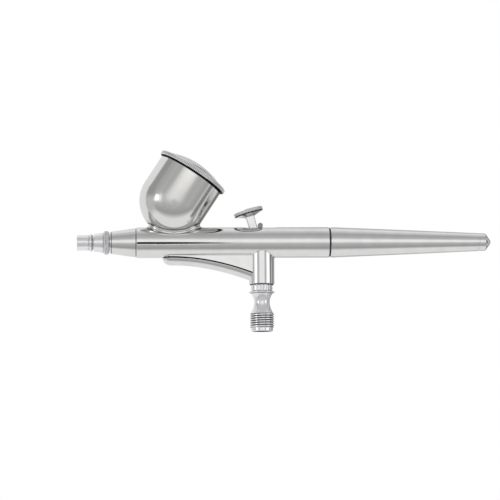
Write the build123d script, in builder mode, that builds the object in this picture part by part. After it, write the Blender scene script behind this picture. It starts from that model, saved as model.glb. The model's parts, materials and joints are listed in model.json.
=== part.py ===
from build123d import *
from math import asin, cos, degrees, radians, sin
import os

os.makedirs("parts", exist_ok=True)

# Airbrush gun, in millimetres. The origin is the centre of the air inlet's mouth. +Z points up the
# valve to the barrel, and +X points back along the barrel to the end of the handle.

# ---------------------------------------------------------------- driving dimensions
# "station" is a distance along the barrel, "height" is measured from the barrel's axis.
BARREL_Z = 35.6                 # the barrel's axis above the inlet's mouth
BARREL_R = 6.15
BARREL_FRONT = -50.0
BARREL_BACK = 27.0
SPIGOT_R = 4.9                  # handle thread behind the barrel
SPIGOT_BACK = 33.0

REAR_BORE_R = 3.9               # trigger well and spring room
REAR_BORE_FRONT = -12.4
PACKING_BORE_R = 2.4
PACKING_BORE_FRONT = -19.0
CHANNEL_R = 1.6                 # paint channel
HEAD_BORE_R = 2.6
HEAD_BORE_DEPTH = 5.6

RUNNING = 0.05                  # radial clearance of a running fit
NEEDLE_R = 0.65
NEEDLE_TIP = -71.6
NEEDLE_LENGTH = 131.0
NEEDLE_TAPER = 18.0
NEEDLE_BORE_R = NEEDLE_R + RUNNING

CUP_STATION = -34.9             # centre of the cup's round bottom
CUP_HEIGHT = 16.7
CUP_TILT = 33.2
CUP_R = 13.9
CUP_WALL = 0.9
CUP_RIM = 12.5                  # straight wall above the round bottom's centre
DRAIN_R = 2.0
LID_GAP = 0.4                   # shadow gap between the cup's rim and its lid
LID_R = 14.85
LID_THICK = 1.8

PIVOT_HEIGHT = -5.4             # trigger pivot, on the valve's axis
TRIGGER_LEAN = 16.3             # forward lean at rest
STEM_WIDTH = 3.2                # across the barrel
BUTTON_R = 5.9
BUTTON_REACH = 17.8             # pivot to the middle of the button

SLOT_FRONT = -7.6
SLOT_BACK = 0.6
SLOT_WIDTH = 4.4
LEVER_SLOT_BACK = 4.6
LEVER_SLOT_WIDTH = 4.0

BOSS_R = 5.05
BOSS_BOTTOM = 18.8              # the boss's lower face above the inlet's mouth
CASING_BORE_R = 3.4
CASING_TOP = 26.0
VALVE_WELL_R = 2.5
THREAD_R = 4.78                 # crest of the air inlet's thread
THREAD_TOP = 7.2
PORT_Z = 23.6                   # where the air drilling leaves the valve

WEB_HALF = 3.3                  # finger rest, half its width and its edge radius

HANDLE_FRONT = 27.6
HANDLE_BACK = 90.2
HANDLE_TIP = 92.2
HANDLE_END_R = 3.45

# ---------------------------------------------------------------- planes and axes
BARREL_AXIS = Axis((0, 0, BARREL_Z), (1, 0, 0))
BARREL_SIDE = Plane(origin=(0, 0, BARREL_Z), x_dir=(1, 0, 0), z_dir=(0, -1, 0))
VALVE_SIDE = Plane.XZ

cup_turn = radians(CUP_TILT)
CUP_CENTRE = Vector(CUP_STATION, 0, BARREL_Z + CUP_HEIGHT)
CUP_UP = Vector(sin(cup_turn), 0, cos(cup_turn))
CUP_SIDE = Plane(origin=CUP_CENTRE, x_dir=(cos(cup_turn), 0, -sin(cup_turn)), z_dir=(0, -1, 0))
CUP_AXIS = Axis(CUP_CENTRE, CUP_UP)

lean = radians(TRIGGER_LEAN)
PIVOT = Vector(0, 0, BARREL_Z + PIVOT_HEIGHT)
STEM_UP = Vector(-sin(lean), 0, cos(lean))
STEM_SIDE = Plane(origin=PIVOT, x_dir=(cos(lean), 0, sin(lean)), z_dir=(0, -1, 0))
STEM_AXIS = Axis(PIVOT, STEM_UP)


def across(station, height=0.0):
    """A plane across the barrel, facing back, with Y to its right and Z up."""
    return Plane(origin=(station, 0, BARREL_Z + height), x_dir=(0, 1, 0), z_dir=(1, 0, 0))


# ---------------------------------------------------------------- gun body
WEB_PATH = [(-36.3, -5.7), (-24.0, -5.7), (-12.0, -8.6), (0.0, -13.5)]
WEB_DEPTH = 8.0                 # straight sides above the rounded edge
web_start = across(*WEB_PATH[0])
AIR_START = Vector(BARREL_FRONT, 0, BARREL_Z - 3.7)
AIR_END = Vector(-3.0, 0, PORT_Z)
AIR_R = 0.55
JUNCTION_R = 0.5


def at_junction(edge):
    """True where the barrel, the boss and the finger rest meet one another."""
    box = edge.bounding_box()
    at_barrel = box.min.Z > BARREL_Z - BARREL_R - 0.1 and box.max.Z < BARREL_Z - 3
    at_boss = box.min.X > -BOSS_R - 0.1 and box.max.X < -WEB_HALF
    return edge.length > 1 and (at_barrel or at_boss)


with BuildPart() as gun_body:
    # barrel
    with BuildSketch(across(BARREL_FRONT)):
        Circle(BARREL_R)
    extrude(amount=BARREL_BACK - BARREL_FRONT)
    front_edge = gun_body.edges().filter_by(GeomType.CIRCLE).group_by(Axis.X)[0]
    back_edge = gun_body.edges().filter_by(GeomType.CIRCLE).group_by(Axis.X)[-1]
    fillet(front_edge + back_edge, radius=0.25)
    with BuildSketch(across(BARREL_BACK - 1)):
        Circle(SPIGOT_R)
    extrude(amount=SPIGOT_BACK - BARREL_BACK + 1)
    # valve boss
    with BuildSketch(Plane.XY.offset(BOSS_BOTTOM)):
        Circle(BOSS_R)
    extrude(amount=BARREL_Z - BOSS_BOTTOM)
    fillet(gun_body.edges().filter_by(GeomType.CIRCLE).group_by(Axis.Z)[0], radius=0.3)
    # finger rest: a flat web with a fully rounded lower edge
    with BuildLine(BARREL_SIDE) as web_edge:
        Bezier(*WEB_PATH)
    with BuildSketch(web_start) as web_section:
        Circle(WEB_HALF)
        with Locations((0, WEB_DEPTH / 2)):
            Rectangle(2 * WEB_HALF, WEB_DEPTH)
    sweep(path=web_edge.line)
    # its rounded nose
    with BuildSketch(web_start):
        add(web_section.sketch_local)
        with Locations((-WEB_HALF, 0)):
            Rectangle(2 * WEB_HALF, 4 * WEB_DEPTH, mode=Mode.SUBTRACT)
    revolve(axis=Axis(web_start.origin, (0, 0, 1)), revolution_arc=180)
    fillet(gun_body.edges().filter_by(at_junction), radius=JUNCTION_R)
    # pocket for the brazed cup, and the drain into the paint channel
    with Locations(CUP_CENTRE):
        Sphere(CUP_R, mode=Mode.SUBTRACT)
    with BuildSketch(Plane.XY.offset(BARREL_Z)):
        with Locations((CUP_STATION, 0)):
            Circle(DRAIN_R)
    extrude(amount=BARREL_R, mode=Mode.SUBTRACT)
    # bores along the barrel
    for bore_front, bore_back, bore_r in (
        (BARREL_FRONT, PACKING_BORE_FRONT, CHANNEL_R),
        (BARREL_FRONT, BARREL_FRONT + HEAD_BORE_DEPTH, HEAD_BORE_R),
        (PACKING_BORE_FRONT, REAR_BORE_FRONT, PACKING_BORE_R),
        (REAR_BORE_FRONT, SPIGOT_BACK, REAR_BORE_R),
    ):
        with BuildSketch(across(bore_front)):
            Circle(bore_r)
        extrude(amount=bore_back - bore_front, mode=Mode.SUBTRACT)
    # trigger slot, with a narrower slot behind it for the back lever
    with BuildSketch(Plane.XY.offset(BARREL_Z)):
        with Locations(((SLOT_FRONT + SLOT_BACK) / 2, 0)):
            SlotOverall(SLOT_BACK - SLOT_FRONT, SLOT_WIDTH)
        with Locations((LEVER_SLOT_BACK / 2, 0)):
            SlotOverall(LEVER_SLOT_BACK + LEVER_SLOT_WIDTH, LEVER_SLOT_WIDTH)
    extrude(amount=BARREL_R + 1, mode=Mode.SUBTRACT)
    # valve well and the casing's seat, up through the boss
    with BuildSketch(Plane.XY.offset(BOSS_BOTTOM)):
        Circle(CASING_BORE_R)
    extrude(amount=CASING_TOP - BOSS_BOTTOM, mode=Mode.SUBTRACT)
    with BuildSketch(Plane.XY.offset(CASING_TOP)):
        Circle(VALVE_WELL_R)
    extrude(amount=BARREL_Z - CASING_TOP, mode=Mode.SUBTRACT)
    # pocket for the leaning stem and the back lever's foot
    with BuildSketch(BARREL_SIDE):
        with BuildLine():
            Polyline(
                (-3.3, 0), (-3.3, -4.2), (-2.3, -7.6), (0, -7.6), (0, -5.9), (4.6, -5.9), (4.6, 0),
                close=True,
            )
        make_face()
    extrude(amount=STEM_WIDTH / 2 + 0.1, both=True, mode=Mode.SUBTRACT)
    # air drilling from the valve to the head
    with BuildSketch(Plane(origin=AIR_START, z_dir=AIR_END - AIR_START)):
        Circle(AIR_R)
    extrude(amount=(AIR_END - AIR_START).length, mode=Mode.SUBTRACT)
gun_body.part.label = "gun_body"
export_step(gun_body.part, "parts/gun_body.step")

# ---------------------------------------------------------------- paint cup and lid
with BuildPart() as paint_cup:
    with BuildSketch(CUP_SIDE):
        with BuildLine():
            outer = CenterArc((0, 0), CUP_R, -90, 90)
            Polyline(outer @ 1, (CUP_R, CUP_RIM), (CUP_R - CUP_WALL, CUP_RIM), (CUP_R - CUP_WALL, 0))
            inner = CenterArc((0, 0), CUP_R - CUP_WALL, -90, 90)
            Line(inner @ 0, outer @ 0)
        make_face()
    revolve(axis=CUP_AXIS)
    rim_edges = paint_cup.edges().filter_by(GeomType.CIRCLE).sort_by(CUP_AXIS)[-2:]
    fillet(rim_edges, radius=0.35)
    with BuildSketch(Plane.XY.offset(BARREL_Z)):
        with Locations((CUP_STATION, 0)):
            Circle(DRAIN_R)
    extrude(amount=CUP_HEIGHT - CUP_R + CUP_WALL + 2, mode=Mode.SUBTRACT)
paint_cup.part.label = "paint_cup"
export_step(paint_cup.part, "parts/paint_cup.step")

LID_UNDER = CUP_RIM + LID_GAP
LID_TOP = LID_UNDER + LID_THICK
LID_CROWN = LID_TOP + 3.1
LID_SHELL = 1.3
SKIRT_R = CUP_R - CUP_WALL - RUNNING
SKIRT_BOTTOM = CUP_RIM - 2.4
with BuildPart() as cup_lid:
    with BuildSketch(CUP_SIDE):
        with BuildLine():
            Polyline(
                (SKIRT_R - 0.9, LID_UNDER), (SKIRT_R - 0.9, SKIRT_BOTTOM), (SKIRT_R, SKIRT_BOTTOM),
                (SKIRT_R, LID_UNDER), (LID_R - 0.3, LID_UNDER), (LID_R, LID_UNDER + 0.3),
                (LID_R, LID_TOP - 0.4), (LID_R - 0.5, LID_TOP), (LID_R - 2.0, LID_TOP),
                (LID_R - 2.5, LID_TOP + 0.35),
            )
            TangentArc((0, LID_CROWN), (LID_R - 2.5, LID_TOP + 0.35), tangent=(1, 0))
            TangentArc((0, LID_CROWN - LID_SHELL), (SKIRT_R - 0.9, LID_UNDER), tangent=(1, 0))
            Line((0, LID_CROWN), (0, LID_CROWN - LID_SHELL))
        make_face()
    revolve(axis=CUP_AXIS)
    with BuildSketch(Plane(origin=CUP_CENTRE + CUP_UP * LID_UNDER, z_dir=CUP_UP)):
        Circle(0.6)
    extrude(amount=LID_CROWN - LID_UNDER + 1, mode=Mode.SUBTRACT)
cup_lid.part.label = "cup_lid"
export_step(cup_lid.part, "parts/cup_lid.step")

# ---------------------------------------------------------------- head
HEAD_FRONT = -60.6
HEAD_SPIGOT_R = 3.3
HEAD_SPIGOT_FRONT = -63.0
NOZZLE_STEM_R = 1.5
AIR_JET_R = 0.45
AIR_JET_FRONT = Vector(HEAD_SPIGOT_FRONT, 0, BARREL_Z + 2.5)
AIR_JET_BACK = Vector(BARREL_FRONT - 0.4, 0, BARREL_Z + 3.65)
with BuildPart() as head:
    with BuildSketch(BARREL_SIDE):
        with BuildLine():
            Polyline(
                (-45.0, 1.1), (-45.0, HEAD_BORE_R), (BARREL_FRONT, HEAD_BORE_R), (BARREL_FRONT, 3.1),
                (BARREL_FRONT - 0.8, 3.1), (BARREL_FRONT - 0.8, 4.2), (BARREL_FRONT, 4.2),
                (BARREL_FRONT, 5.65), (BARREL_FRONT - 0.25, 5.85), (HEAD_FRONT + 0.2, 4.4),
                (HEAD_FRONT, 4.2), (HEAD_FRONT, HEAD_SPIGOT_R), (HEAD_SPIGOT_FRONT, HEAD_SPIGOT_R),
                (HEAD_SPIGOT_FRONT, NOZZLE_STEM_R), (-60.0, NOZZLE_STEM_R), (-60.0, 1.1), close=True,
            )
        make_face()
    revolve(axis=BARREL_AXIS)
    with BuildSketch(Plane(origin=AIR_JET_BACK, z_dir=AIR_JET_FRONT - AIR_JET_BACK)):
        Circle(AIR_JET_R)
    jet = extrude(amount=(AIR_JET_FRONT - AIR_JET_BACK).length + 0.5, mode=Mode.PRIVATE)
    for jet_number in range(4):
        add(jet.rotate(BARREL_AXIS, 45 + 90 * jet_number), mode=Mode.SUBTRACT)
head.part.label = "head"
export_step(head.part, "parts/head.step")

with BuildPart() as head_seal:
    with BuildSketch(across(-45.0)):
        Circle(HEAD_BORE_R)
        Circle(CHANNEL_R, mode=Mode.SUBTRACT)
    extrude(amount=BARREL_FRONT + HEAD_BORE_DEPTH + 45.0)
head_seal.part.label = "head_seal"
export_step(head_seal.part, "parts/head_seal.step")

# ---------------------------------------------------------------- nozzle
NOZZLE_FLANGE_BACK = HEAD_SPIGOT_FRONT - 0.3
with BuildPart() as nozzle_seal:
    with BuildSketch(across(NOZZLE_FLANGE_BACK)):
        Circle(1.95)
        Circle(NOZZLE_STEM_R, mode=Mode.SUBTRACT)
    extrude(amount=HEAD_SPIGOT_FRONT - NOZZLE_FLANGE_BACK)
nozzle_seal.part.label = "nozzle_seal"
export_step(nozzle_seal.part, "parts/nozzle_seal.step")

NOZZLE_TIP = -68.7
with BuildPart() as nozzle:
    with BuildSketch(BARREL_SIDE):
        with BuildLine():
            Polyline(
                (-60.4, 0.85), (-60.4, NOZZLE_STEM_R), (NOZZLE_FLANGE_BACK, NOZZLE_STEM_R),
                (NOZZLE_FLANGE_BACK, 1.95), (-64.4, 1.95), (-64.4, 1.5), (NOZZLE_TIP, 0.42),
                (NOZZLE_TIP, 0.18), (-63.0, 0.85), close=True,
            )
        make_face()
    revolve(axis=BARREL_AXIS)
nozzle.part.label = "nozzle"
export_step(nozzle.part, "parts/nozzle.step")

# ---------------------------------------------------------------- air cap and needle cap
AIR_CAP_BACK = -60.9
RING_FRONT = -63.0
RING_R = 4.8
AIR_CAP_FACE = -66.9
AIR_CAP_NECK_R = 2.6
AIR_CAP_TIP = -69.0
AIR_HOLE_R = 0.62
with BuildPart() as air_cap:
    with BuildSketch(BARREL_SIDE):
        with BuildLine():
            Polyline((AIR_CAP_BACK, 4.35), (AIR_CAP_BACK, HEAD_SPIGOT_R), (HEAD_SPIGOT_FRONT, HEAD_SPIGOT_R),
                     (HEAD_SPIGOT_FRONT, 2.9), (-65.2, 2.2), (-68.3, AIR_HOLE_R), (AIR_CAP_TIP, AIR_HOLE_R),
                     (AIR_CAP_TIP, AIR_CAP_NECK_R), (AIR_CAP_FACE, AIR_CAP_NECK_R), (AIR_CAP_FACE, 3.35),
                     (AIR_CAP_FACE + 0.25, 3.6), (RING_FRONT, 4.15))
            ThreePointArc((RING_FRONT, 4.15), ((AIR_CAP_BACK + RING_FRONT) / 2, RING_R), (AIR_CAP_BACK, 4.35))
        make_face()
    revolve(axis=BARREL_AXIS)
air_cap.part.label = "air_cap"
export_step(air_cap.part, "parts/air_cap.step")

NEEDLE_CAP_BACK = -67.4
NEEDLE_CAP_FRONT = -73.8
NEEDLE_CAP_R = 3.08
NEEDLE_CAP_RING_R = 3.5
with BuildPart() as needle_cap:
    with BuildSketch(BARREL_SIDE):
        with BuildLine():
            Polyline(
                (NEEDLE_CAP_BACK, AIR_CAP_NECK_R + RUNNING), (NEEDLE_CAP_BACK, NEEDLE_CAP_RING_R - 0.15),
                (NEEDLE_CAP_BACK - 0.15, NEEDLE_CAP_RING_R), (-68.9, NEEDLE_CAP_RING_R),
                (-69.5, NEEDLE_CAP_R), (NEEDLE_CAP_FRONT + 0.2, NEEDLE_CAP_R),
                (NEEDLE_CAP_FRONT, NEEDLE_CAP_R - 0.2), (NEEDLE_CAP_FRONT, 2.5), (-73.5, 2.3),
                (AIR_CAP_TIP - 0.1, 2.3), (AIR_CAP_TIP - 0.1, AIR_CAP_NECK_R + RUNNING), close=True,
            )
        make_face()
    revolve(axis=BARREL_AXIS)
needle_cap.part.label = "needle_cap"
export_step(needle_cap.part, "parts/needle_cap.step")

# ---------------------------------------------------------------- needle and its packing
with BuildPart() as needle:
    with BuildSketch(BARREL_SIDE):
        with BuildLine():
            needle_back = NEEDLE_TIP + NEEDLE_LENGTH
            Polyline(
                (NEEDLE_TIP, 0), (NEEDLE_TIP, 0.03), (NEEDLE_TIP + NEEDLE_TAPER, NEEDLE_R),
                (needle_back - 0.4, NEEDLE_R), (needle_back, NEEDLE_R - 0.3), (needle_back, 0), close=True,
            )
        make_face()
    revolve(axis=BARREL_AXIS)
needle.part.label = "needle"
export_step(needle.part, "parts/needle.step")

PACKING_LENGTH = 2.5
with BuildPart() as needle_packing:
    with BuildSketch(across(PACKING_BORE_FRONT)):
        Circle(PACKING_BORE_R)
        Circle(NEEDLE_BORE_R, mode=Mode.SUBTRACT)
    extrude(amount=PACKING_LENGTH)
needle_packing.part.label = "needle_packing"
export_step(needle_packing.part, "parts/needle_packing.step")

PACKING_SCREW_BACK = -12.8
with BuildPart() as packing_screw:
    with BuildSketch(across(PACKING_BORE_FRONT + PACKING_LENGTH)):
        Circle(PACKING_BORE_R)
        Circle(NEEDLE_BORE_R + 0.1, mode=Mode.SUBTRACT)
    extrude(amount=PACKING_SCREW_BACK - PACKING_BORE_FRONT - PACKING_LENGTH)
    with BuildSketch(across(PACKING_SCREW_BACK)):
        Rectangle(0.6, 2 * PACKING_BORE_R)
    extrude(amount=-1.0, mode=Mode.SUBTRACT)
packing_screw.part.label = "packing_screw"
export_step(packing_screw.part, "parts/packing_screw.step")

# ---------------------------------------------------------------- trigger and finger button
STEM_FOOT_R = 1.5
STEM_PIN_R = 1.0
BUTTON_UNDER = BUTTON_REACH - 0.8
with BuildPart() as trigger:
    with BuildSketch(STEM_SIDE):
        Circle(STEM_FOOT_R)
        with BuildLine():
            Polyline((-1.3, 0), (1.3, 0), (1.75, BUTTON_UNDER - 0.6), (-1.75, BUTTON_UNDER - 0.6), close=True)
        make_face()
    extrude(amount=STEM_WIDTH / 2, both=True)
    long_edges = trigger.edges().filter_by(GeomType.LINE).filter_by(Axis.Y, reverse=True)
    fillet(long_edges.filter_by(lambda edge: edge.length > 10), radius=0.4)
    with BuildSketch(Plane(origin=PIVOT + STEM_UP * (BUTTON_UNDER - 0.7), z_dir=STEM_UP)):
        Circle(STEM_PIN_R)
    extrude(amount=1.7)
    # slot that the needle passes through
    with BuildSketch(Plane(origin=PIVOT, x_dir=(0, 1, 0), z_dir=STEM_SIDE.x_dir)):
        with Locations((0, 6.3)):
            SlotOverall(4.8, 1.8, rotation=90)
    extrude(amount=3, both=True, mode=Mode.SUBTRACT)
trigger.part.label = "trigger"
export_step(trigger.part, "parts/trigger.step")

with BuildPart() as finger_button:
    with BuildSketch(STEM_SIDE):
        with BuildLine():
            Polyline(
                (0, BUTTON_UNDER - 0.6), (2.2, BUTTON_UNDER - 0.6), (BUTTON_R - 0.2, BUTTON_UNDER + 0.7),
                (BUTTON_R, BUTTON_UNDER + 0.9), (BUTTON_R, BUTTON_UNDER + 2.0),
                (BUTTON_R - 0.3, BUTTON_UNDER + 2.3), (0, BUTTON_UNDER + 2.3), close=True,
            )
        make_face()
    revolve(axis=STEM_AXIS)
    with BuildSketch(Plane(origin=PIVOT + STEM_UP * (BUTTON_UNDER - 0.6), z_dir=STEM_UP)):
        Circle(STEM_PIN_R)
    extrude(amount=1.6, mode=Mode.SUBTRACT)
    # dished top, deepest ahead of the middle, which leaves a lip at the back
    DISH_R = 14.0
    with Locations(STEM_SIDE.from_local_coords((-1.6, BUTTON_UNDER + 1.15 + DISH_R, 0))):
        Sphere(DISH_R, mode=Mode.SUBTRACT)
finger_button.part.label = "finger_button"
export_step(finger_button.part, "parts/finger_button.step")

# ---------------------------------------------------------------- back lever
LEVER_FOOT = (3.6, -4.9)
LEVER_NOSE = (-0.45, 6.8)
LEVER_THICK = 1.2
LEVER_HALF = 1.5
lever_foot = Vector(LEVER_FOOT[0], 0, BARREL_Z + LEVER_FOOT[1])
lever_nose = Vector(LEVER_NOSE[0], 0, BARREL_Z + LEVER_NOSE[1])
lever_up = (lever_nose - lever_foot).normalized()
LEVER_SIDE = Plane(origin=lever_foot, x_dir=(lever_up.Z, 0, -lever_up.X), z_dir=(0, -1, 0))
lever_reach = (lever_nose - lever_foot).length
with BuildPart() as back_lever:
    with BuildSketch(LEVER_SIDE):
        Circle(0.8)
        with Locations((0, lever_reach)):
            Circle(1.0)
        with Locations((0, lever_reach / 2)):
            Rectangle(LEVER_THICK, lever_reach)
    extrude(amount=LEVER_HALF, both=True)
    # slot that the needle passes through
    with BuildSketch(Plane(origin=lever_foot, x_dir=(0, 1, 0), z_dir=LEVER_SIDE.x_dir)):
        with Locations((0, 5.2)):
            SlotOverall(3.2, 1.7, rotation=90)
    extrude(amount=2, both=True, mode=Mode.SUBTRACT)
back_lever.part.label = "back_lever"
export_step(back_lever.part, "parts/back_lever.step")

# ---------------------------------------------------------------- needle guide, spring, case and chuck nut
GUIDE_HEAD_R = REAR_BORE_R - RUNNING
GUIDE_FACE = 2.87               # station of the sloped front face on the barrel's axis
GUIDE_SHOULDER = 7.0
GUIDE_TUBE_R = 1.9
GUIDE_BACK = 49.0
lever_slope = -lever_up.X / lever_up.Z
with BuildPart() as needle_guide:
    with BuildSketch(BARREL_SIDE):
        with BuildLine():
            Polyline(
                (0, NEEDLE_R), (0, GUIDE_HEAD_R), (GUIDE_SHOULDER, GUIDE_HEAD_R),
                (GUIDE_SHOULDER, GUIDE_TUBE_R), (GUIDE_BACK - 2, GUIDE_TUBE_R), (GUIDE_BACK, 1.4),
                (GUIDE_BACK, NEEDLE_R), close=True,
            )
        make_face()
    revolve(axis=BARREL_AXIS)
    # the face slopes like the lever at rest
    with BuildSketch(BARREL_SIDE):
        with BuildLine():
            top_front = (GUIDE_FACE - lever_slope * 5, 5)
            low_front = (GUIDE_FACE + lever_slope * 5, -5)
            Polyline(top_front, low_front, (-2, -5), (-2, 5), close=True)
        make_face()
    extrude(amount=5, both=True, mode=Mode.SUBTRACT)
    # slits of the collet
    for slit_angle in (0, 90):
        with BuildSketch(across(GUIDE_BACK)):
            Rectangle(0.35, 2 * GUIDE_TUBE_R, rotation=slit_angle)
        extrude(amount=-7, mode=Mode.SUBTRACT)
needle_guide.part.label = "needle_guide"
export_step(needle_guide.part, "parts/needle_guide.step")

CASE_FRONT = 16.0
CASE_FLANGE_R = 4.45
CASE_ROOM_R = 3.4
CASE_SHOULDER = 30.0
CASE_BACK = 38.0
with BuildPart() as spring_case:
    with BuildSketch(BARREL_SIDE):
        with BuildLine():
            Polyline(
                (CASE_FRONT, CASE_ROOM_R), (CASE_FRONT, REAR_BORE_R), (SPIGOT_BACK, REAR_BORE_R),
                (SPIGOT_BACK, CASE_FLANGE_R), (SPIGOT_BACK + 1.2, CASE_FLANGE_R),
                (SPIGOT_BACK + 1.2, 3.3), (CASE_BACK, 3.3), (CASE_BACK, GUIDE_TUBE_R + RUNNING),
                (CASE_SHOULDER, GUIDE_TUBE_R + RUNNING), (CASE_SHOULDER, CASE_ROOM_R), close=True,
            )
        make_face()
    revolve(axis=BARREL_AXIS)
    # screwdriver slot across the back
    with BuildSketch(across(CASE_BACK)):
        Rectangle(0.8, 2 * CASE_FLANGE_R)
    extrude(amount=-1.0, mode=Mode.SUBTRACT)
spring_case.part.label = "spring_case"
export_step(spring_case.part, "parts/spring_case.step")


def coil(plane, length, turns, radius):
    """The centre line of a spring standing on a plane."""
    return plane.location * Helix(pitch=length / turns, height=length, radius=radius)


NEEDLE_WIRE_R = 0.3
NEEDLE_COIL_R = 2.8
needle_coil_length = CASE_SHOULDER - GUIDE_SHOULDER - 2 * NEEDLE_WIRE_R
needle_coil = coil(across(GUIDE_SHOULDER + NEEDLE_WIRE_R), needle_coil_length, 11, NEEDLE_COIL_R)
with BuildPart() as needle_spring:
    with BuildSketch(Plane(origin=needle_coil @ 0, z_dir=needle_coil % 0)):
        Circle(NEEDLE_WIRE_R)
    sweep(path=needle_coil, is_frenet=True)
needle_spring.part.label = "needle_spring"
export_step(needle_spring.part, "parts/needle_spring.step")

NUT_FRONT = 42.0
NUT_BACK = 52.0
NUT_R = 3.1
with BuildPart() as chuck_nut:
    with BuildSketch(BARREL_SIDE):
        with BuildLine():
            Polyline(
                (NUT_FRONT, GUIDE_TUBE_R), (NUT_FRONT, NUT_R - 0.3), (NUT_FRONT + 0.3, NUT_R),
                (NUT_BACK - 2.5, NUT_R), (NUT_BACK, 1.9), (NUT_BACK, NEEDLE_R), (GUIDE_BACK + 0.3, NEEDLE_R),
                (GUIDE_BACK + 0.3, 1.4), (GUIDE_BACK - 2, GUIDE_TUBE_R), close=True,
            )
        make_face()
    revolve(axis=BARREL_AXIS)
chuck_nut.part.label = "chuck_nut"
export_step(chuck_nut.part, "parts/chuck_nut.step")

# ---------------------------------------------------------------- handle and its ring
handle_tip_arc = degrees(asin(0.9 / 1.5))
with BuildPart() as handle:
    with BuildSketch(BARREL_SIDE):
        with BuildLine():
            Polyline(
                (HANDLE_FRONT, SPIGOT_R + RUNNING), (HANDLE_FRONT, BARREL_R - 0.25),
                (HANDLE_FRONT + 0.2, BARREL_R - 0.02), (HANDLE_BACK - 2.8, HANDLE_END_R + 0.1),
                (HANDLE_BACK - 2.7, HANDLE_END_R - 0.05), (HANDLE_BACK - 2.4, HANDLE_END_R - 0.05),
                (HANDLE_BACK - 2.3, HANDLE_END_R + 0.08), (HANDLE_BACK - 0.3, HANDLE_END_R),
                (HANDLE_BACK, HANDLE_END_R - 0.25), (HANDLE_TIP - 0.3, 0.9),
            )
            CenterArc((HANDLE_TIP - 1.5, 0), 1.5, handle_tip_arc, -handle_tip_arc)
            Polyline(
                (HANDLE_TIP, 0), (80.0, 0), (79.0, 1.6), (60.0, 1.6), (57.0, 3.5), (35.4, 3.5),
                (34.4, SPIGOT_R + RUNNING), (HANDLE_FRONT, SPIGOT_R + RUNNING),
            )
        make_face()
    revolve(axis=BARREL_AXIS)
handle.part.label = "handle"
export_step(handle.part, "parts/handle.step")

with BuildPart() as handle_ring:
    with BuildSketch(across(BARREL_BACK)):
        Circle(BARREL_R - 0.35)
        Circle(SPIGOT_R, mode=Mode.SUBTRACT)
    extrude(amount=HANDLE_FRONT - BARREL_BACK - 0.02)
    fillet(handle_ring.edges().filter_by(GeomType.CIRCLE).sort_by(SortBy.RADIUS)[-2:], radius=0.25)
handle_ring.part.label = "handle_ring"
export_step(handle_ring.part, "parts/handle_ring.step")

# ---------------------------------------------------------------- air valve
CHAMBER_R = 1.7
SPRING_ROOM_R = 2.1
SEAT_BOTTOM = 19.6
SEAT_TOP = 20.6
SEAT_R = 1.2
PACKING_ROOM_R = 2.0
PACKING_FLOOR = 24.9
MOUTH_R = 3.4
MOUTH_DEPTH = 6.1
COLLAR_R = 4.2
COLLAR_BOTTOM = 15.6
FLANGE_R = 5.1
with BuildPart() as valve_casing:
    with BuildSketch(VALVE_SIDE):
        with BuildLine():
            Polyline(
                (SPRING_ROOM_R, MOUTH_DEPTH), (SPRING_ROOM_R, SEAT_BOTTOM), (SEAT_R, SEAT_BOTTOM),
                (SEAT_R, SEAT_TOP), (CHAMBER_R, SEAT_TOP), (CHAMBER_R, PACKING_FLOOR),
                (PACKING_ROOM_R, PACKING_FLOOR), (PACKING_ROOM_R, CASING_TOP),
                (CASING_BORE_R - 0.5, CASING_TOP), (CASING_BORE_R - 0.5, CASING_TOP - 0.7),
                (CASING_BORE_R, CASING_TOP - 0.7),
                (CASING_BORE_R, PORT_Z + 0.5), (CASING_BORE_R - 0.5, PORT_Z + 0.5),
                (CASING_BORE_R - 0.5, PORT_Z - 0.5), (CASING_BORE_R, PORT_Z - 0.5),
                (CASING_BORE_R, BOSS_BOTTOM - 0.3), (COLLAR_R, BOSS_BOTTOM - 0.3),
                (COLLAR_R, COLLAR_BOTTOM + 0.5), (FLANGE_R, COLLAR_BOTTOM + 0.2),
                (FLANGE_R, COLLAR_BOTTOM - 0.05), (4.3, 15.1),
            )
            Spline((4.3, 15.1), (3.2, 12.6), (3.5, 9.4), (THREAD_R - 0.35, THREAD_TOP + 0.2))
            Polyline(
                (THREAD_R - 0.35, THREAD_TOP + 0.2), (THREAD_R, THREAD_TOP - 0.2), (THREAD_R, 1.5),
                (4.35, 1.3), (4.35, 0.25), (4.1, 0), (MOUTH_R + 0.2, 0), (MOUTH_R, 0.2),
                (MOUTH_R, MOUTH_DEPTH), (SPRING_ROOM_R, MOUTH_DEPTH),
            )
        make_face()
    revolve(axis=Axis.Z)
    with BuildSketch(Plane.YZ):
        with Locations((0, PORT_Z)):
            Circle(0.4)
    extrude(amount=CASING_BORE_R, both=True, mode=Mode.SUBTRACT)
valve_casing.part.label = "valve_casing"
export_step(valve_casing.part, "parts/valve_casing.step")

with BuildPart() as casing_seal:
    with BuildSketch(Plane.XY.offset(BOSS_BOTTOM - 0.3)):
        Circle(4.7)
        Circle(CASING_BORE_R, mode=Mode.SUBTRACT)
    extrude(amount=0.3)
casing_seal.part.label = "casing_seal"
export_step(casing_seal.part, "parts/casing_seal.step")

with BuildPart() as casing_ring:
    with BuildSketch(Plane.XY.offset(CASING_TOP - 0.7)):
        Circle(CASING_BORE_R)
        Circle(CASING_BORE_R - 0.5, mode=Mode.SUBTRACT)
    extrude(amount=0.7)
casing_ring.part.label = "casing_ring"
export_step(casing_ring.part, "parts/casing_ring.step")

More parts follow.
